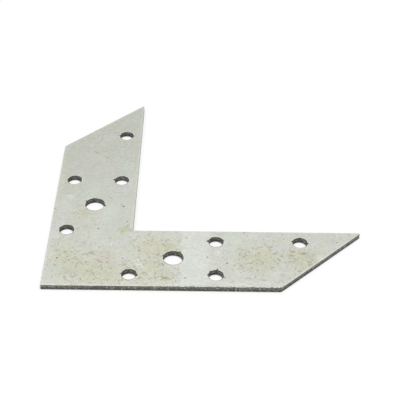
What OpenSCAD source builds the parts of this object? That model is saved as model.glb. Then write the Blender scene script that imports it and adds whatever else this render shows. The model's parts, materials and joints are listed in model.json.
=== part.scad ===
/* [Plate] */
// Width of each arm
arm_w = 40; // [30:1:60]
// Length of each arm's outer edge, from the outside corner to the end cut
outer_len = 110; // [100:1:160]
// Angle between an arm's long edges and its end cut
end_angle = 45; // [35:1:60]
// Thickness of the sheet
sheet_t = 2.5; // [1.5:0.25:5]
// Radius of the blank's outside corners
corner_r = 0.6; // [0.5:0.1:3]

/* [Cut edges] */
// Width of the rounding that the punch leaves round the top face
roll_w = 0.3; // [0.1:0.05:0.45]
// Depth of that rounding
roll_d = 0.25; // [0.1:0.05:0.6]

/* [Holes] */
// Diameter of the screw holes
screw_d = 7; // [4:0.5:9]
// Diameter of the bolt hole in the middle of each arm
bolt_d = 9.5; // [6:0.5:14]
// Distance from an arm's long edge to the nearer row of screw holes
row_edge = 8; // [6:0.5:12]
// Distance from the outside corner to the first screw hole
first_hole = 40; // [20:1:50]
// Distance along the arm from one hole to the next place for a hole
pitch = 20; // [12:1:22]

/* [Hidden] */

// Smoothness of a hole, of a blank's rounded corner and of a rounded edge
HOLE_FN = 96;
CORNER_FN = 32;
ROLL_STEPS = 5;

// How far a cutter runs past the face that it cuts
PAST = 1;

GALVANISED = [0.80, 0.80, 0.76];

// Length that the end cut takes from one long edge to the other
cut_run = arm_w / tan(end_angle);

// Rows across the arm, from its outer edge
outer_row = row_edge;
middle_row = arm_w / 2;
inner_row = arm_w - row_edge;

// Holes of one arm, as [pitches past the first hole, row]
SCREW_HOLES = [[0, outer_row], [2, outer_row], [2, inner_row], [4, inner_row]];
BOLT_HOLE = [1, middle_row];

// Corners of one arm, as [place, inside angle, direction towards the inside]
ARM_CORNERS = [
    [[0, 0], 90, 45],
    [[outer_len, 0], 180 - end_angle, 90 + end_angle / 2],
    [[outer_len + cut_run, arm_w], end_angle, 180 + end_angle / 2],
    [[0, arm_w], 90, -45]
];

// Section of the rounded rim: the step k of ROLL_STEPS, as [width, depth] from the sharp edge
function roll_point(k) = [
    roll_w * (1 - sin(90 * k / ROLL_STEPS)),
    roll_d * (1 - cos(90 * k / ROLL_STEPS))
];

// One rounded corner of the blank, with its top edge rolled over
module corner_post() {
    rotate_extrude($fn = CORNER_FN)
        polygon(concat(
            [[0, 0], [corner_r, 0]],
            [for (k = [ROLL_STEPS:-1:0]) [
                corner_r - roll_point(k)[0],
                sheet_t - roll_point(k)[1]
            ]],
            [[0, sheet_t]]
        ));
}

// The solid sheet of one arm, with its long edges along X
module arm_blank() {
    hull()
        for (c = ARM_CORNERS)
            translate(c[0] + corner_r / sin(c[1] / 2) * [cos(c[2]), sin(c[2])])
                corner_post();
}

// A punched hole: a round wall, and a rim rolled over at the top face
module punch(d) {
    translate([0, 0, -PAST])
        cylinder(d = d, h = sheet_t + 2 * PAST, $fn = HOLE_FN);
    rotate_extrude($fn = HOLE_FN)
        polygon(concat(
            [[0, sheet_t + PAST], [0, sheet_t - roll_d]],
            [for (k = [ROLL_STEPS:-1:0]) [
                d / 2 + roll_point(k)[0],
                sheet_t - roll_point(k)[1]
            ]],
            [[d / 2 + roll_w, sheet_t + PAST]]
        ));
}

// Punches for the five holes of one arm
module arm_punches() {
    for (h = SCREW_HOLES)
        translate([first_hole + h[0] * pitch, h[1], 0])
            punch(screw_d);
    translate([first_hole + BOLT_HOLE[0] * pitch, BOLT_HOLE[1], 0])
        punch(bolt_d);
}

// Draws one arm along X, and its mirror image along Y
module both_arms() {
    children();
    mirror([1, -1, 0])
        children();
}

module corner_plate() {
    color(GALVANISED)
        difference() {
            both_arms() arm_blank();
            both_arms() arm_punches();
        }
}

corner_plate();
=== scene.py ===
import json
import math

import bmesh
import bpy
from mathutils import Matrix, Vector, noise


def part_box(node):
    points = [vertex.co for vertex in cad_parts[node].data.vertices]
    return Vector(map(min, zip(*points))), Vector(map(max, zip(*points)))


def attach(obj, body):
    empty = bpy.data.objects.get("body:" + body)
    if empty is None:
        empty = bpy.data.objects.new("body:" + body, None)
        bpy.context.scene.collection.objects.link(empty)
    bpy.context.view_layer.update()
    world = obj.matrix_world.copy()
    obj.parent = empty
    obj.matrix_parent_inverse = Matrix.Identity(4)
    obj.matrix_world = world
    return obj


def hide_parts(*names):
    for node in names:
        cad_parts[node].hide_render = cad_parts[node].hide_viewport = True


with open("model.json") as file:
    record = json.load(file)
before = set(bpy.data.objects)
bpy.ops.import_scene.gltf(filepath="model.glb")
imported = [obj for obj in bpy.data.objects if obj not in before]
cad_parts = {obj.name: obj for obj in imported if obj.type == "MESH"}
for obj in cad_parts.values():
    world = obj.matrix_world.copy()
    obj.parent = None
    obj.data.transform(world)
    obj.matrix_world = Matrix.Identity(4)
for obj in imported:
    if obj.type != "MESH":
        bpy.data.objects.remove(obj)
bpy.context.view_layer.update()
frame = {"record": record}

# The camera: a long lens on a stand in front of the table, a little right of the plate's middle and
# looking down on it by 38 degrees. It leans by under half a degree.
CAMERA_PLACE = Vector((0.07575, -0.38877, 0.35269))
CAMERA_AIM = Vector((0.07196, 0.06775, 0.0))
CAMERA_LEAN = math.radians(0.40)
SENSOR_WIDTH = 36.0
FOCAL_LENGTH = 103.4
lens = bpy.data.cameras.new("camera")
lens.sensor_width = SENSOR_WIDTH
lens.lens = FOCAL_LENGTH
lens.clip_start = 0.01
lens.clip_end = 20.0
camera = bpy.data.objects.new("camera", lens)
bpy.context.scene.collection.objects.link(camera)
looking = (CAMERA_AIM - CAMERA_PLACE).to_track_quat("-Z", "Y").to_matrix()
looking = looking @ Matrix.Rotation(CAMERA_LEAN, 3, "Z")
camera.matrix_world = Matrix.Translation(CAMERA_PLACE) @ looking.to_4x4()
bpy.context.scene.camera = camera
bpy.context.scene.view_settings.view_transform = "Standard"

# The blank: one L of 2.5 mm galvanised sheet. Two equal arms share the corner square, and each ends
# in a 45 degree cut. It is sheared from the sheet, which rolls its top edge over and tears the rest.
MM = 0.001
ARM = 40 * MM
OUTER = 110 * MM
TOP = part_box("corner_plate")[1][2]
ROLL = 0.26 * MM
SAME_PLACE = 0.01 * MM


def pick(kind, wanted):
    """Selects, in edit mode, the vertices, edges or faces of the open mesh that wanted() says yes to."""
    bpy.ops.mesh.select_mode(type=kind)
    bpy.ops.mesh.select_all(action="DESELECT")
    shape = bmesh.from_edit_mesh(bpy.context.object.data)
    parts = {"VERT": shape.verts, "EDGE": shape.edges, "FACE": shape.faces}[kind]
    for part in parts:
        if wanted(part):
            part.select_set(True)
    shape.select_flush_mode()
    bmesh.update_edit_mesh(bpy.context.object.data)


def at(vertex, x=None, y=None, z=None):
    """Says whether a vertex lies at these coordinates. One that isn't given may be anything."""
    return all(want is None or abs(have - want) < SAME_PLACE for have, want in zip(vertex.co, (x, y, z)))


bpy.ops.object.select_all(action="DESELECT")
bpy.ops.mesh.primitive_plane_add(size=ARM, location=(ARM / 2, ARM / 2, TOP))
plate = bpy.context.object
plate.name = plate.data.name = "punched_plate"
bpy.ops.object.transform_apply(location=True, rotation=True, scale=True)
bpy.ops.object.mode_set(mode="EDIT")
pick("EDGE", lambda e: all(at(v, x=ARM) for v in e.verts))
bpy.ops.mesh.extrude_region_move(TRANSFORM_OT_translate={"value": (OUTER - ARM, 0, 0)})
pick("VERT", lambda v: at(v, x=OUTER, y=ARM))
bpy.ops.transform.translate(value=(ARM, 0, 0))
pick("EDGE", lambda e: all(at(v, y=ARM) and v.co.x < ARM + MM for v in e.verts))
bpy.ops.mesh.extrude_region_move(TRANSFORM_OT_translate={"value": (0, OUTER - ARM, 0)})
pick("VERT", lambda v: at(v, x=ARM, y=OUTER))
bpy.ops.transform.translate(value=(0, ARM, 0))
bpy.ops.mesh.select_all(action="SELECT")
bpy.ops.mesh.dissolve_limited(angle_limit=math.radians(1))

# Its corners come off the shear slightly rounded, which takes the most off the two sharp tips. CORNERS
# has each one's place and how much is taken off along its edges. The inside corner stays sharp.
ROUNDING_STEPS = 5
TIP = OUTER + ARM
SQUARE_OFF = 0.6 * MM
BLUNT_OFF = 0.25 * MM
SHARP_OFF = 1.77 * MM
CORNERS = (
    (0, 0, SQUARE_OFF),
    (OUTER, 0, BLUNT_OFF),
    (0, OUTER, BLUNT_OFF),
    (TIP, ARM, SHARP_OFF),
    (ARM, TIP, SHARP_OFF),
)
for x, y, taken_off in CORNERS:
    pick("VERT", lambda v: at(v, x=x, y=y))
    bpy.ops.mesh.bevel(affect="VERTICES", offset=taken_off, segments=ROUNDING_STEPS)
bpy.ops.mesh.select_all(action="SELECT")
bpy.ops.mesh.extrude_region_move(TRANSFORM_OT_translate={"value": (0, 0, -TOP)})
bpy.ops.mesh.select_all(action="SELECT")
bpy.ops.mesh.normals_make_consistent(inside=False)

# The roll-over that the shear leaves round the top edge. The blank is then marked out along the rows
# and hole places, so that the punches land where lines cross.
pick("EDGE", lambda e: all(at(v, z=TOP) for v in e.verts))
bpy.ops.mesh.bevel(affect="EDGES", offset=ROLL, segments=ROUNDING_STEPS, profile=0.5)
bores = [mount for mount in frame["record"]["mounts"] if mount["kind"] == "bore"]
for axis in (0, 1):
    for line in sorted({bore["pos_m"][axis] for bore in bores}):
        middle = [0.0, 0.0, 0.0]
        across = [0.0, 0.0, 0.0]
        middle[axis] = line
        across[axis] = 1.0
        bpy.ops.mesh.select_all(action="SELECT")
        bpy.ops.mesh.bisect(plane_co=middle, plane_no=across)
bpy.ops.object.mode_set(mode="OBJECT")

# Shearing and punching leave three bands on a cut wall: the roll-over, a smooth burnished band, and
# below it the torn band, which leans in a little and is rough. Where the tear starts wanders.
SMOOTH_BAND = 0.75 * MM
TEAR_EASE = 0.35 * MM
TORN_LEAN = 0.02 * MM
TORN_ROUGH = 0.06 * MM
# How fast the tear's start, its ridges and its chips change, per mm along the wall and down it. The last
# value sets the chips apart from the ridges, so that they don't follow each other.
WANDER_ALONG = 0.22
RIDGES_ALONG = 0.9
RIDGES_DOWN = 0.35
CHIPS_ALONG = 2.6
CHIPS_DOWN = 2.2
CHIPS_APART = 7


def torn(place, depth):
    """How far the torn wall lies behind the smooth one at a place, at a depth below the top face."""
    along = Vector((place.x, place.y, 0)) / MM
    start = ROLL + SMOOTH_BAND * (1 + 0.5 * noise.noise(along * WANDER_ALONG))
    if depth < start:
        return 0.0
    into = min(1.0, (depth - start) / TEAR_EASE)
    ridges = noise.noise(along * RIDGES_ALONG + Vector((0, 0, depth / MM * RIDGES_DOWN)))
    chips = noise.noise(along * CHIPS_ALONG + Vector((CHIPS_APART, 0, depth / MM * CHIPS_DOWN)))
    roughness = max(0.0, 0.5 + 0.7 * ridges + 0.5 * chips)
    return into * (TORN_LEAN * depth / TOP + TORN_ROUGH * roughness)


# The punches: one for screws and one for bolts, each shaped as the hole that it leaves, with the flare
# of the roll-over, the smooth band, and the torn band, which widens a little. FLARE and BANDS go from
# the top down, as (how far the wall stands out past the hole's radius, its depth), in mm.
PAST = 1.0 * MM
SIDES = 128
FLARE = [(0.37, -0.003), (0.25, 0.012), (0.14, 0.045), (0.05, 0.10), (-0.02, 0.17), (-0.06, 0.27)]
BANDS = [
    (-0.08, 0.42), (-0.08, 0.65), (-0.08, 0.9), (-0.07, 1.15), (-0.07, 1.4),
    (-0.06, 1.65), (-0.06, 1.9), (-0.05, 2.15), (-0.05, 2.35), (-0.05, 2.52),
]
CUT_THROUGH = (-0.05, (TOP + PAST) / MM)


def make_punch(name, radius):
    """A punch at the middle of the frame: a disc drawn down and widened or narrowed layer by layer."""
    bpy.ops.object.select_all(action="DESELECT")
    wide = radius + FLARE[0][0] * MM
    height = TOP + PAST
    bpy.ops.mesh.primitive_circle_add(
        vertices=SIDES, radius=wide, fill_type="NGON", location=(0, 0, height),
    )
    punch = bpy.context.object
    punch.name = punch.data.name = name
    bpy.ops.object.transform_apply(location=True, rotation=True, scale=True)
    bpy.ops.object.mode_set(mode="EDIT")
    bpy.ops.mesh.select_all(action="SELECT")
    for grow, depth in [*FLARE, *BANDS, CUT_THROUGH]:
        lower = TOP - depth * MM
        bpy.ops.mesh.extrude_region_move(TRANSFORM_OT_translate={"value": (0, 0, lower - height)})
        size = (radius + grow * MM) / wide
        bpy.ops.transform.resize(value=(size, size, 1), center_override=(0, 0, lower))
        wide = radius + grow * MM
        height = lower
    bpy.ops.mesh.select_all(action="SELECT")
    bpy.ops.mesh.normals_make_consistent(inside=False)
    bpy.ops.object.mode_set(mode="OBJECT")
    return punch


# Each hole is punched on its own, so each wall tears its own way. Burrs have broken out of the rims:
# NICKS gives each one's direction in degrees, its reach past the rim and half its width in mm.
NICK_DEPTH = 0.8 * MM
NICKS = {
    "near_arm_screw_1": [(115, 0.5, 0.3), (-8, 0.6, 0.45), (170, 0.4, 0.5)],
    "near_arm_bolt": [(54, 1.0, 0.6), (160, 0.6, 0.6), (100, 0.3, 0.5)],
    "near_arm_screw_2": [(81, 1.3, 0.45), (132, 0.6, 0.4), (-17, 0.8, 0.35), (175, 0.4, 0.5)],
    "near_arm_screw_3": [(171, 1.0, 0.7), (118, 0.4, 0.4), (20, 0.4, 0.5)],
    "near_arm_screw_4": [(163, 0.6, 0.6), (-6, 0.6, 0.5), (86, 0.4, 0.4)],
    "far_arm_screw_1": [(-38, 0.75, 0.45), (60, 0.3, 0.4), (160, 0.3, 0.5)],
    "far_arm_bolt": [(150, 0.9, 0.5), (-10, 0.9, 0.5), (100, 0.4, 0.5)],
    "far_arm_screw_2": [(38, 0.5, 0.5), (170, 0.3, 0.5)],
    "far_arm_screw_3": [(172, 1.0, 0.6), (80, 0.4, 0.4)],
    "far_arm_screw_4": [(0, 0.5, 0.5), (175, 0.4, 0.5)],
}
patterns = {}
punches = []
for bore in bores:
    radius = bore["dims"]["r_mm"] * MM
    middle = Vector((bore["pos_m"][0], bore["pos_m"][1], 0))
    if radius not in patterns:
        patterns[radius] = make_punch("bolt_punch" if "bolt" in bore["name"] else "screw_punch", radius)
    punch = patterns[radius].copy()
    punch.data = punch.data.copy()
    bpy.context.scene.collection.objects.link(punch)
    punches.append(punch)
    for vertex in punch.data.vertices:
        depth = TOP - vertex.co.z
        flat = Vector((vertex.co.x, vertex.co.y, 0))
        way = flat.normalized()
        reach = torn(middle + way * radius, depth) if depth > 0 else 0.0
        for degrees, deep, half in NICKS[bore["name"]]:
            toward = Vector((math.cos(math.radians(degrees)), math.sin(math.radians(degrees)), 0))
            across = way.angle(toward) * radius / (half * MM)
            if depth < NICK_DEPTH:
                reach += deep * MM * max(0.0, 1 - across) * (1 - max(0.0, depth) / NICK_DEPTH)
        vertex.co = middle + way * (flat.length + reach) + Vector((0, 0, vertex.co.z))

# All ten holes are cut at once, and the punches are put away.
bpy.ops.object.select_all(action="DESELECT")
for punch in punches:
    punch.select_set(True)
bpy.context.view_layer.objects.active = punches[0]
bpy.ops.object.join()
all_punches = bpy.context.object
bpy.ops.object.select_all(action="DESELECT")
bpy.context.view_layer.objects.active = plate
plate.select_set(True)
cut = plate.modifiers.new("punch", "BOOLEAN")
cut.operation = "DIFFERENCE"
cut.solver = "EXACT"
cut.object = all_punches
bpy.ops.object.modifier_apply(modifier="punch")
for used in [all_punches, *patterns.values()]:
    bpy.data.objects.remove(used)

# The sheared walls are split into short steps and thin layers, and then torn. The hole walls are torn by
# now, so they are left alone. MARKED has the lengths of wall between two marks, each as the range in mm
# that it lies in. A vertex is on a wall if its normal leans outwards by more than LEANS_OUT.
HOLE_ZONE = 7 * MM
LEVEL_FACE = 0.999
STEP = 0.45 * MM
LAYERS = 10
MARKED = ((6.5, 9), (10.5, 13), (15, 18), (18, 21), (26, 31), (35, 41))
TINY = 0.0005 * MM
LEANS_OUT = 0.5


def in_a_hole(vertex):
    """Says whether a vertex belongs to the wall or the rim of a hole."""
    x, y = vertex.co.xy
    return any(math.hypot(x - bore["pos_m"][0], y - bore["pos_m"][1]) < HOLE_ZONE for bore in bores)


def on_cut(edge):
    """Says whether an edge bounds a sheared wall or its roll-over."""
    slanted = any(abs(face.normal.z) < LEVEL_FACE for face in edge.link_faces)
    return slanted and not in_a_hole(edge.verts[0])


def level(edge, low, high):
    """Says whether an edge lies flat and is between low and high long."""
    first, last = edge.verts
    return abs(first.co.z - last.co.z) < SAME_PLACE and low < edge.calc_length() < high


def upright(edge):
    """Says whether an edge runs down a wall, from the roll-over to the foot."""
    first, last = edge.verts
    return abs(first.co.z - last.co.z) > TOP / 2


bpy.ops.object.mode_set(mode="EDIT")
for low, high in MARKED:
    pick("EDGE", lambda e: level(e, low * MM, high * MM) and on_cut(e))
    bpy.ops.mesh.subdivide(number_cuts=round(high * MM / STEP))
pick("EDGE", lambda e: upright(e) and on_cut(e))
bpy.ops.mesh.subdivide(number_cuts=LAYERS - 1)
pick("FACE", lambda f: abs(f.normal.z) > LEVEL_FACE)
bpy.ops.mesh.quads_convert_to_tris(quad_method="BEAUTY", ngon_method="BEAUTY")
bpy.ops.mesh.select_all(action="SELECT")
bpy.ops.mesh.dissolve_degenerate(threshold=TINY)
bpy.ops.object.mode_set(mode="OBJECT")
outwards = [vertex.normal.copy() for vertex in plate.data.vertices]
for vertex, normal in zip(plate.data.vertices, outwards):
    wall = Vector((normal.x, normal.y, 0))
    if wall.length > LEANS_OUT and vertex.co.z < TOP - ROLL and not in_a_hole(vertex):
        vertex.co -= wall.normalized() * torn(vertex.co, TOP - vertex.co.z)

# The skin: mill zinc that has lain about. Cool pale grey clouds, beige ones and lilac ones lie over each
# other. The beige is dull, with fine dark specks and short strokes in it. The rims are paler, partly
# rubbed and partly a painted highlight, and along the front the zinc has chipped.
SKIN_COOL = (0.605, 0.645, 0.585, 1)
SKIN_WARM = (0.580, 0.578, 0.466, 1)
SKIN_LILAC = (0.636, 0.632, 0.602, 1)
SKIN_PALE = (0.725, 0.750, 0.690, 1)
STAIN_YELLOW = (0.465, 0.468, 0.275, 1)
RUST_BLUSH = (0.560, 0.482, 0.355, 1)
SPECK_DARK = (0.110, 0.105, 0.070, 1)

# Clouds and marks that have a place of their own on the top side. Each is an oval, as (x, y, half its
# length) in mm, and stands under its turn in degrees and how many times longer than wide it is.
WARM_FIELDS = {
    (0, 1): [
        (20, 9, 19), (50, 9, 17), (51, 26, 15), (9, 20, 10), (100, 19, 15), (121, 20, 12), (14, 52, 6),
        (36.5, 40, 5),
    ],
    (0, 3): [(34, 6, 34)],
}
COOL_PATCHES = {
    (80, 1.8): [(27, 54, 12), (17, 70, 11), (5, 60, 13), (34, 92, 9), (22, 118, 8), (23, 36, 9)],
    (0, 1.5): [(88, 34, 8), (107, 10, 6)],
}
LILAC_PATCHES = {
    (0, 1): [(82, 22, 7), (92, 7, 7), (31, 20, 6), (124, 31, 7)],
    (80, 3): [(2.0, 40, 17), (36, 75, 10)],
    (0, 3): [(138, 36.5, 9), (101, 36, 9)],
}
PALE_PATCHES = {
    (0, 1): [(7.3, 66.0, 3.2), (30.5, 107.7, 1.8), (31, 29.3, 0.9), (129, 21, 3.0), (80.5, 24.5, 3.0)],
    (0, 4): [(78, 4, 9), (90, 1.5, 12), (39, 3, 5), (103, 3, 6), (60, 0.5, 10)],
    (-42, 3): [(44, 14.5, 5.5)],
}
YELLOW_STAINS = {
    (0, 1.6): [
        (36.8, 40.3, 5.6), (57.5, 28.4, 5.2), (53.0, 24.6, 2.2), (115.5, 22.6, 4.8), (139.5, 35.6, 2.8),
        (57, 5.2, 3.0), (98, 22, 3.2), (12, 9, 4), (31, 13, 3),
    ],
}
RUST_SPOTS = {
    (0, 1): [
        (29.5, 20, 7.0), (120, 25.3, 2.4), (93, 22.5, 3.2), (15.1, 53.2, 2.7), (64.6, 27.4, 2.2),
        (111, 8.3, 2.2), (95.6, 12.2, 2.0), (84.6, 7.4, 0.9),
    ],
}
DARK_DOTS = {
    (0, 1): [
        (100.2, 24.2, 0.60), (66, 34.6, 0.45), (66, 6.0, 0.5), (61.6, 3.5, 0.4), (62.5, 12.1, 0.45),
        (76, 20.6, 0.5), (137.6, 32.7, 0.45), (5.6, 19.0, 0.6), (15.0, 18.0, 0.5), (19.5, 16.1, 0.5),
        (11.3, 17.4, 0.45), (85.2, 16.6, 0.7), (88.5, 15.0, 0.5), (91.2, 14.9, 0.45), (99.3, 12.0, 0.5),
        (93.5, 39.3, 0.6), (36.3, 19.3, 0.5), (49.8, 33.5, 0.4), (23.2, 40.9, 0.6), (33.1, 60.3, 0.5),
        (34.3, 58.5, 0.65), (6.2, 68.4, 0.4), (16.2, 69.0, 0.45), (36.8, 46.7, 0.5), (0.8, 56.4, 0.5),
    ],
}
DARK_STROKES = {
    (0, 5): [
        (135.8, 27.4, 1.3), (115.5, 22.6, 2.4), (95.6, 2.4, 2.0), (57.2, 5.5, 2.4), (80, 4.0, 1.0),
        (40, 4.2, 2.6), (97.7, 18.0, 1.1), (3.2, 27.2, 1.0), (102, 5.2, 2.2),
    ],
    (90, 4): [
        (29.1, 16.4, 1.4), (32.6, 103.4, 1.1), (19, 116.3, 1.6), (98.5, 22.8, 1.1), (112.2, 17.6, 1.0),
        (113.9, 17.6, 0.8), (46.2, 34.6, 0.9), (10.3, 52.7, 0.9), (103.3, 15.0, 1.0),
    ],
    (-42, 5): [
        (20.7, 9.9, 1.7), (23.7, 7.6, 1.5), (33.8, 59.0, 1.1), (27.3, 65.5, 1.8), (17.3, 104.2, 2.4),
        (22.6, 100.0, 2.6),
    ],
    (-65, 5): [(42.3, 13.2, 2.3)],
}
BAND_START = (62.8, 64.2)
BAND_END = (73.5, 80.0)
SEED_MOVES = (37.1, 11.7, 5.3)

# How strongly each kind of mark covers what is under it.
PALE_COVERS = 0.66
YELLOW_COVERS = 0.55
RUST_COVERS = 0.42
SPECKS_COVER = 0.55
STROKES_COVER = 0.46
DOTS_COVER = 0.85
CHIPS_COVER = 0.55
RUB_AND_HIGHLIGHT_COVERS = 0.6


def new_finish(name):
    """A finish with no nodes in it yet."""
    finish = bpy.data.materials.new(name)
    finish.use_nodes = True
    finish.node_tree.nodes.clear()
    return finish


def put(tree, kind, feeds=None, **settings):
    """Adds one node. feeds gives its sockets their values, or the sockets that feed them."""
    node = tree.nodes.new("ShaderNode" + kind)
    for name, value in settings.items():
        setattr(node, name, value)
    for socket, value in (feeds or {}).items():
        if isinstance(value, bpy.types.NodeSocket):
            tree.links.new(value, node.inputs[socket])
        else:
            node.inputs[socket].default_value = value
    return node


def work(operation, first, second):
    """One sum on two numbers, such as MINIMUM. At least one of them comes from a node."""
    fed = first if isinstance(first, bpy.types.NodeSocket) else second
    return put(fed.id_data, "Math", {0: first, 1: second}, operation=operation).outputs[0]


def times(first, second):
    """One number times another."""
    return work("MULTIPLY", first, second)


def add(first, second):
    """Two numbers added up."""
    return work("ADD", first, second)


def less(first, second):
    """The second number taken from the first."""
    return work("SUBTRACT", first, second)


def higher(first, second):
    """The higher of two numbers, which also joins two masks."""
    return work("MAXIMUM", first, second)


def carry(operation, *values):
    """One sum on places, such as SCALE or LENGTH, and its result. The first place comes from a node."""
    sockets = (0, "Scale") if operation == "SCALE" else (0, 1, 2)
    node = put(values[0].id_data, "VectorMath", dict(zip(sockets, values)), operation=operation)
    return node.outputs["Value" if operation in ("LENGTH", "DISTANCE") else "Vector"]


def ramp(value, low, high, start=0.0, end=1.0):
    """Eases a number from start to end while the value goes from low to high."""
    feeds = {"Value": value, "From Min": low, "From Max": high, "To Min": start, "To Max": end}
    return put(value.id_data, "MapRange", feeds, interpolation_type="SMOOTHSTEP").outputs["Result"]


def tint(under, over, amount):
    """Lays one colour over another by an amount."""
    return put(amount.id_data, "Mix", {0: amount, 6: under, 7: over}, data_type="RGBA").outputs[2]


def clouds(place, size, detail, rough, seed, stretch=None):
    """Cloudy noise whose patches are about size mm across."""
    if stretch:
        place = carry("MULTIPLY", place, stretch)
    moved = carry("ADD", place, tuple(seed * move for move in SEED_MOVES))
    feeds = {"Vector": moved, "Scale": 1.0 / size, "Detail": detail, "Roughness": rough}
    return put(place.id_data, "TexNoise", feeds).outputs["Fac"]


def shaken(flat, solid, by, rate, detail):
    """Flat places pushed about by noise, so that what is laid on them gets a ragged outline."""
    push = put(solid.id_data, "TexNoise", {"Vector": solid, "Scale": rate, "Detail": detail})
    push = carry("SUBTRACT", push.outputs["Color"], (0.5, 0.5, 0.5))
    return carry("MULTIPLY_ADD", push, (by, by, 0.0), flat)


def patches(place, ovals, soft):
    """Ovals as one mask: full up to the share soft of an oval's size, and gone at its outline."""
    nearest = None
    for (turn, slim), alike in ovals.items():
        c = math.cos(math.radians(turn))
        s = math.sin(math.radians(turn))
        feeds = {"Vector": place, "Rotation": (0, 0, -math.radians(turn))}
        turned = put(place.id_data, "Mapping", feeds).outputs[0]
        laid = carry("MULTIPLY", turned, (1, slim, 1))
        for x, y, long in alike:
            middle = (x * c + y * s, (y * c - x * s) * slim, 0)
            away = times(carry("DISTANCE", laid, middle), 1 / long)
            nearest = away if nearest is None else work("MINIMUM", nearest, away)
    return ramp(nearest, soft, 1.0, 1.0, 0.0)


zinc = new_finish("weathered_zinc")
solid = carry("SCALE", put(zinc.node_tree, "TexCoord").outputs["Object"], 1 / MM)
flat = carry("MULTIPLY", solid, (1.0, 1.0, 0.0))
ragged = shaken(flat, solid, by=5.0, rate=0.35, detail=3.0)
crooked = shaken(flat, solid, by=0.9, rate=1.4, detail=2.0)
x, y, z = put(zinc.node_tree, "SeparateXYZ", {"Vector": solid}).outputs

# The clouds and marks with a place of their own are on the upper side only.
upper_side = ramp(z, 1.0, 1.5)

# How far each place lies from the nearest sheared edge, in mm, for what shears and hands do to a rim.
arm = ARM / MM
outer = OUTER / MM
to_inside = put(zinc.node_tree, "CombineXYZ", {
    "X": higher(less(arm, x), 0.0),
    "Y": higher(less(arm, y), 0.0),
}).outputs[0]
edges = [x, y, carry("LENGTH", to_inside)]
for ahead, aside in ((x, y), (y, x)):
    edges.append(times(less(add(outer, aside), ahead), math.sqrt(0.5)))
rim = edges[0]
for edge in edges[1:]:
    rim = work("MINIMUM", rim, edge)


def past_rim(flat):
    """How far a place lies outside the nearest hole's rim, in mm."""
    nearest = None
    for bore in bores:
        centre = (bore["pos_m"][0] / MM, bore["pos_m"][1] / MM, 0)
        gap = less(carry("DISTANCE", flat, centre), bore["dims"]["r_mm"])
        nearest = gap if nearest is None else work("MINIMUM", nearest, gap)
    return nearest


hole = past_rim(flat)

# Its colour, from the broad clouds down to the stains. A pale band crosses the near arm, and the front
# strip is paler too, partly a painted highlight along the front rim.
broad = clouds(ragged, size=26, detail=4.0, rough=0.55, seed=1)
middle_size = clouds(ragged, size=6.5, detail=5.0, rough=0.6, seed=2)
small = clouds(crooked, size=1.6, detail=4.0, rough=0.6, seed=3)
grain = clouds(solid, size=0.55, detail=3.0, rough=0.6, seed=4)
fields = times(patches(ragged, WARM_FIELDS, 0.2), upper_side)
ragged_x = put(zinc.node_tree, "SeparateXYZ", {"Vector": ragged}).outputs["X"]
band = times(ramp(ragged_x, *BAND_START), ramp(x, *BAND_END, 1.0, 0.0))
band = times(band, upper_side)
warm = times(less(fields, band), 0.56)
warm = add(warm, times(broad, 0.6))
warm = add(warm, times(middle_size, 0.95))
warm = add(warm, times(small, 0.62))
cool = times(patches(ragged, COOL_PATCHES, 0.0), upper_side)
warm = less(warm, times(cool, 0.40))
warm_mask = less(warm, 0.62)
warm_mask = work("MINIMUM", higher(warm_mask, 0.0), 1.0)
colour = tint(SKIN_COOL, SKIN_WARM, warm_mask)

lilac = times(patches(ragged, LILAC_PATCHES, 0.1), upper_side)
lilac_noise = clouds(ragged, size=7.5, detail=4.0, rough=0.6, seed=10)
lilac = add(times(lilac, 0.75), ramp(lilac_noise, 0.45, 0.62, 0.0, 0.65))
lilac = less(lilac, times(cool, 0.4))
lilac = less(lilac, times(fields, 0.35))
lilac = add(lilac, ramp(y, 2.5, 7.0, 0.22, 0.0))
colour = tint(colour, SKIN_LILAC, higher(lilac, 0.0))

pale = higher(patches(ragged, PALE_PATCHES, 0.2), times(band, 0.72))
pale = times(pale, upper_side)
flecks = clouds(crooked, size=2.6, detail=3.0, rough=0.6, seed=5)
pale = higher(pale, times(ramp(flecks, 0.58, 0.72), 0.6))
pale = higher(pale, times(cool, 0.25))
# Partly a painted highlight: the strip along the front rim is paler.
pale = higher(pale, ramp(y, 1.5, 6.0, 0.24, 0.0))
colour = tint(colour, SKIN_PALE, times(pale, PALE_COVERS))

yellow = times(patches(ragged, YELLOW_STAINS, 0.2), upper_side)
yellow = times(yellow, ramp(small, 0.30, 0.62, 0.25, 0.9))
colour = tint(colour, STAIN_YELLOW, times(yellow, YELLOW_COVERS))
rust = times(patches(ragged, RUST_SPOTS, 0.1), upper_side)
colour = tint(colour, RUST_BLUSH, times(rust, RUST_COVERS))

# Its tone: fine grain over small clouds, and faint lines from the rolling mill. Painted shade darkens it
# towards the two tips, where the light falls off, and it is a little darker at the left.
tone = add(times(small, 0.42), times(grain, 0.35))
rolled = clouds(solid, size=1.0, detail=2.0, rough=0.5, seed=6, stretch=(0.05, 0.7, 1.0))
tone = add(tone, times(rolled, 0.05))
tone = add(times(middle_size, 0.22), tone)
tone = add(tone, 0.505)
# Painted shade: the light's falloff towards the two tips, painted into the tone.
tone = times(tone, ramp(x, 50.0, 80.0, 1.0, 0.965))
tone = times(tone, ramp(x, 98.0, 125.0, 1.0, 0.965))
tone = times(tone, ramp(x, 28.0, 48.0, 0.983, 1.0))
tone = times(tone, ramp(y, 15.0, 135.0, 0.95, 0.825))
colour = carry("SCALE", colour, tone)

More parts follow.
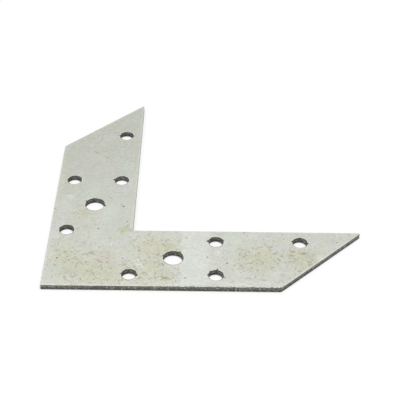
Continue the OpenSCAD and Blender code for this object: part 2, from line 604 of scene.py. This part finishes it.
# Specks and short broken strokes, thickest where the zinc has gone beige, with the marks that have their
# own places, the chips of the front rim, and a few bright specks.
speck_noise = clouds(crooked, size=0.95, detail=1.5, rough=0.5, seed=7)
speck_level = ramp(warm_mask, 0.15, 0.9, 0.73, 0.645)
specks = ramp(less(speck_noise, speck_level), 0.0, 0.05)
cells = put(zinc.node_tree, "TexVoronoi", {"Vector": crooked, "Scale": 0.36}, feature="DISTANCE_TO_EDGE")
breaks = clouds(solid, size=2.6, detail=2.0, rough=0.5, seed=8)
thin = times(less(grain, 0.5), 0.45)
strokes = times(ramp(add(cells.outputs["Distance"], thin), 0.0, 0.12, 1.0, 0.0), ramp(breaks, 0.54, 0.61))
strokes = times(strokes, ramp(warm_mask, 0.15, 0.8, 0.2, 1.0))
strokes = times(strokes, ramp(y, 38.0, 60.0, 1.0, 0.35))
dots = times(patches(crooked, DARK_DOTS, 0.4), DOTS_COVER)
scores = times(patches(crooked, DARK_STROKES, 0.1), ramp(grain, 0.3, 0.55, 0.15, 0.62))
placed = times(higher(dots, scores), upper_side)
dark = higher(times(specks, SPECKS_COVER), times(strokes, STROKES_COVER))
dark = higher(dark, placed)
chipped = clouds(solid, size=1.1, detail=2.0, rough=0.6, seed=12, stretch=(0.8, 1.0, 1.0))
chipped = times(ramp(chipped, 0.46, 0.56), ramp(rim, 0.3, 1.3, 1.0, 0.0))
chipped = times(chipped, times(ramp(x, 40.0, 62.0, 0.25, 1.0), ramp(y, 1.5, 3.5, 1.0, 0.15)))
dark = higher(dark, times(chipped, CHIPS_COVER))
colour = tint(colour, SPECK_DARK, dark)
bright = ramp(clouds(solid, size=0.8, detail=1.0, rough=0.5, seed=11), 0.66, 0.72, 0.0, 0.9)
colour = tint(colour, SKIN_PALE, bright)

# The rims of the plate and of its holes are paler in broken lengths, but not where they chipped. This is
# partly rubbed zinc and partly a painted highlight, which is strongest along the near arm.
rub_and_highlight_noise = clouds(solid, size=3.0, detail=3.0, rough=0.6, seed=9)
rub_and_highlight = times(ramp(rim, 0.25, 1.5, 1.0, 0.0), ramp(rub_and_highlight_noise, 0.32, 0.58, 0.35, 1.0))
rub_and_highlight = times(rub_and_highlight, ramp(y, 20.0, 38.0, 1.0, 0.5))
hole_rub_and_highlight = times(ramp(hole, 0.3, 0.9, 1.0, 0.0), ramp(rub_and_highlight_noise, 0.4, 0.6, 0.1, 0.9))
rub_and_highlight = higher(rub_and_highlight, hole_rub_and_highlight)
rub_and_highlight = times(rub_and_highlight, less(1.0, chipped))
colour = tint(colour, SKIN_PALE, times(rub_and_highlight, RUB_AND_HIGHLIGHT_COVERS))

# It is duller where it is beige or dark, and smoother where it is rubbed. The marks lie a little deep.
roughness = add(times(warm_mask, 0.10), times(small, 0.14))
roughness = add(roughness, times(dark, 0.25))
roughness = add(roughness, times(rub_and_highlight, -0.10))
roughness = add(roughness, 0.46)
height = add(times(grain, 0.5), times(small, 0.5))
height = less(height, times(dark, 0.9))
relief = put(zinc.node_tree, "Bump", {"Height": height, "Strength": 0.6, "Distance": 0.00004})
zinc_shader = put(zinc.node_tree, "BsdfPrincipled", {
    "Base Color": colour, "Roughness": roughness, "Normal": relief.outputs[0], "Metallic": 0.35,
})
put(zinc.node_tree, "OutputMaterial", {"Surface": zinc_shader.outputs[0]})

# The cut walls: bare steel that has darkened. The smooth band under the roll-over is a little lighter
# and shinier, and the torn band is rough and dark. Bright crystals and brown patches lie in both. Painted
# shade darkens it at the foot, under the roll-over and inside the holes.
STEEL_SMOOTH = (0.148, 0.146, 0.132, 1)
STEEL_TORN = (0.120, 0.120, 0.106, 1)
STEEL_BRIGHT = (0.47, 0.47, 0.44, 1)
STEEL_RUST = (0.17, 0.12, 0.075, 1)
steel = new_finish("cut_steel")
wall = carry("SCALE", put(steel.node_tree, "TexCoord").outputs["Object"], 1 / MM)
up = put(steel.node_tree, "SeparateXYZ", {"Vector": wall}).outputs["Z"]
along = carry("MULTIPLY", wall, (1, 1, 0))
wander = times(clouds(along, size=4.0, detail=2.0, rough=0.5, seed=1), 0.9)
torn_mask = ramp(add(up, wander), 1.75, 2.05, 1.0, 0.0)
ridge = clouds(wall, size=0.5, detail=3.0, rough=0.6, seed=2, stretch=(1.0, 1.0, 0.28))
chip = clouds(wall, size=1.0, detail=3.0, rough=0.7, seed=3)
colour = tint(STEEL_SMOOTH, STEEL_TORN, torn_mask)
browned = clouds(wall, size=3.5, detail=4.0, rough=0.6, seed=4)
colour = tint(colour, STEEL_RUST, ramp(browned, 0.55, 0.75, 0.0, 0.45))
crystals = times(ramp(chip, 0.52, 0.60), ramp(torn_mask, 0.0, 1.0, 0.7, 0.8))
colour = tint(colour, STEEL_BRIGHT, crystals)
colour = carry("SCALE", colour, add(times(ridge, 0.7), 0.65))
# Painted shade: darker at the foot, under the roll-over, and inside the holes.
colour = carry("SCALE", colour, ramp(up, 0.0, 0.9, 0.5, 1.0))
colour = carry("SCALE", colour, ramp(up, 2.0, 2.4, 1.0, 0.45))
colour = carry("SCALE", colour, ramp(past_rim(along), 0.5, 1.5, 0.80, 1.0))
roughness = ramp(torn_mask, 0.0, 1.0, 0.42, 0.68)
height = add(times(ridge, 0.8), times(chip, 0.6))
relief = put(steel.node_tree, "Bump", {"Height": height, "Strength": 0.8, "Distance": 0.00012})
steel_shader = put(steel.node_tree, "BsdfPrincipled", {
    "Base Color": colour, "Roughness": roughness, "Normal": relief.outputs[0], "Metallic": 0.45,
})
put(steel.node_tree, "OutputMaterial", {"Surface": steel_shader.outputs[0]})

# Where the zinc ends and the steel starts. The shear has drawn the zinc a varying way down the roll-over,
# furthest at the left and at the far arm's inner edge. Round a hole it ends near the top of the flare,
# and sooner on the near and far sides, soonest on the near side. That is painted shade: dark steel put
# where the flare lies in shade. Each limit is the upward part of a face's normal.
DRAWN_TO = 0.60
DRAWN_VARIES = 0.30
VARIES_ALONG = 0.12
LEFT_PART = 25 * MM
LEFT_DRAWN = 0.17
INNER_DRAWN = 0.5
PUNCHED_TO = 0.93
# Painted shade: how much sooner the zinc gives way to dark steel on a hole's near and far sides.
NEAR_SIDE_SHADE = 0.10
FAR_SIDE_SHADE = 0.05


def ease(value, low, high):
    """Goes evenly from 0 to 1 while a value goes from low to high."""
    return max(0.0, min(1.0, (value - low) / (high - low)))


def sheared_limit(place):
    """The upward part that a face of the sheared rim needs for zinc, at a place on it."""
    limit = DRAWN_TO + DRAWN_VARIES * noise.noise(place / MM * VARIES_ALONG)
    if place.x < LEFT_PART:
        limit -= LEFT_DRAWN
    if place.y > ARM and abs(place.x - ARM) < MM:
        limit -= INNER_DRAWN
    return limit


def punched_limit(normal):
    """The upward part a hole's rim face needs for zinc, raised on the near and far sides as painted
    shade.
    """
    way = Vector((normal.x, normal.y)).normalized()
    return PUNCHED_TO + FAR_SIDE_SHADE * ease(-way.y, 0.2, 0.7) + NEAR_SIDE_SHADE * ease(way.y, 0.3, 0.8)


plate.data.materials.clear()
plate.data.materials.append(zinc)
plate.data.materials.append(steel)
for face in plate.data.polygons:
    punched = in_a_hole(plate.data.vertices[face.vertices[0]])
    limit = punched_limit(face.normal) if punched else sheared_limit(face.center)
    rolled_over = face.center.z > TOP - ROLL and face.normal.z > limit
    flat_side = abs(face.normal.z) > LEVEL_FACE
    face.material_index = 0 if flat_side or rolled_over else 1
    face.use_smooth = not flat_side

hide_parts("corner_plate")
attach(plate, "root")

# The studio: a white table under a big soft lamp, with a weaker one behind. The table shows white, with
# a narrow shadow beside the plate, partly cast and mostly painted: ambient occlusion dims its glow there.
# It is clear from below, and to rays that start right above it, so that the underside can be looked at.
TABLE_MIDDLE = Vector((0.07, 0.07, 0.0))
TABLE_SIZE = 8.0
TABLE_GAP = 0.00015
TABLE_LIGHTING = (0.55, 0.55, 0.54, 1)
TABLE_SEEN = (0.93, 0.93, 0.92, 1)
LIT_FROM = {"X": 0.53, "Y": 0.10, "Z": 0.84}
SHADOW_REACH = 0.0010
RIGHT_ABOVE = 0.0006
bpy.ops.object.select_all(action="DESELECT")
bpy.ops.mesh.primitive_plane_add(size=TABLE_SIZE, location=(TABLE_MIDDLE.x, TABLE_MIDDLE.y, -TABLE_GAP))
table = bpy.context.object
table.name = table.data.name = "table_top"
white = new_finish("white_table")
ray = put(white.node_tree, "LightPath").outputs
looked_at = higher(ray["Is Camera Ray"], ray["Is Glossy Ray"])
looked_at = higher(looked_at, ray["Is Transmission Ray"])
paint = put(white.node_tree, "BsdfDiffuse", {"Color": tint(TABLE_LIGHTING, TABLE_SEEN, looked_at)})
lit_from = put(white.node_tree, "CombineXYZ", LIT_FROM).outputs[0]
# Painted shadow: the table's glow is dimmed where ambient occlusion finds the plate close by.
open_to_light = put(
    white.node_tree, "AmbientOcclusion", {"Distance": SHADOW_REACH, "Normal": lit_from}, samples=8,
).outputs["AO"]
glow_with_painted_shadow = put(white.node_tree, "Emission", {
    "Color": (1, 1, 1, 1), "Strength": ramp(open_to_light, 0.36, 0.85),
})
from_above = put(white.node_tree, "MixShader", {
    0: times(looked_at, 0.8), 1: paint.outputs[0], 2: glow_with_painted_shadow.outputs[0],
})
clear = put(white.node_tree, "BsdfTransparent")
below = put(white.node_tree, "NewGeometry").outputs["Backfacing"]
close = work("LESS_THAN", ray["Ray Length"], RIGHT_ABOVE)
see_through = higher(below, times(close, less(1.0, ray["Is Camera Ray"])))
whole_table = put(white.node_tree, "MixShader", {
    0: see_through, 1: from_above.outputs[0], 2: clear.outputs[0],
})
put(white.node_tree, "OutputMaterial", {"Surface": whole_table.outputs[0]})
table.data.materials.append(white)

for name, where, wide, power in (
    ("soft_lamp", (-0.35, -0.25, 1.15), 1.0, 9.0),
    ("back_lamp", (0.55, 0.75, 0.9), 0.8, 3.0),
):
    lamp = bpy.data.lights.new(name, "AREA")
    lamp.shape = "SQUARE"
    lamp.size = wide
    lamp.energy = power
    lamp_object = bpy.data.objects.new(name, lamp)
    bpy.context.scene.collection.objects.link(lamp_object)
    aimed = (TABLE_MIDDLE - Vector(where)).to_track_quat("-Z", "Y").to_matrix()
    lamp_object.matrix_world = Matrix.Translation(where) @ aimed.to_4x4()

# The room round the table is white to look at, and lights it a little less.
ROOM_LIGHT = 0.6
ROOM_SEEN = 1.0
room = bpy.data.worlds.new("studio")
bpy.context.scene.world = room
room.use_nodes = True
room.node_tree.nodes.clear()
seen = put(room.node_tree, "LightPath").outputs["Is Camera Ray"]
room_light = put(room.node_tree, "Background", {"Color": (1, 1, 1, 1), "Strength": ROOM_LIGHT})
room_white = put(room.node_tree, "Background", {"Color": (1, 1, 1, 1), "Strength": ROOM_SEEN})
room_mix = put(room.node_tree, "MixShader", {0: seen, 1: room_light.outputs[0], 2: room_white.outputs[0]})
put(room.node_tree, "OutputWorld", {"Surface": room_mix.outputs[0]})
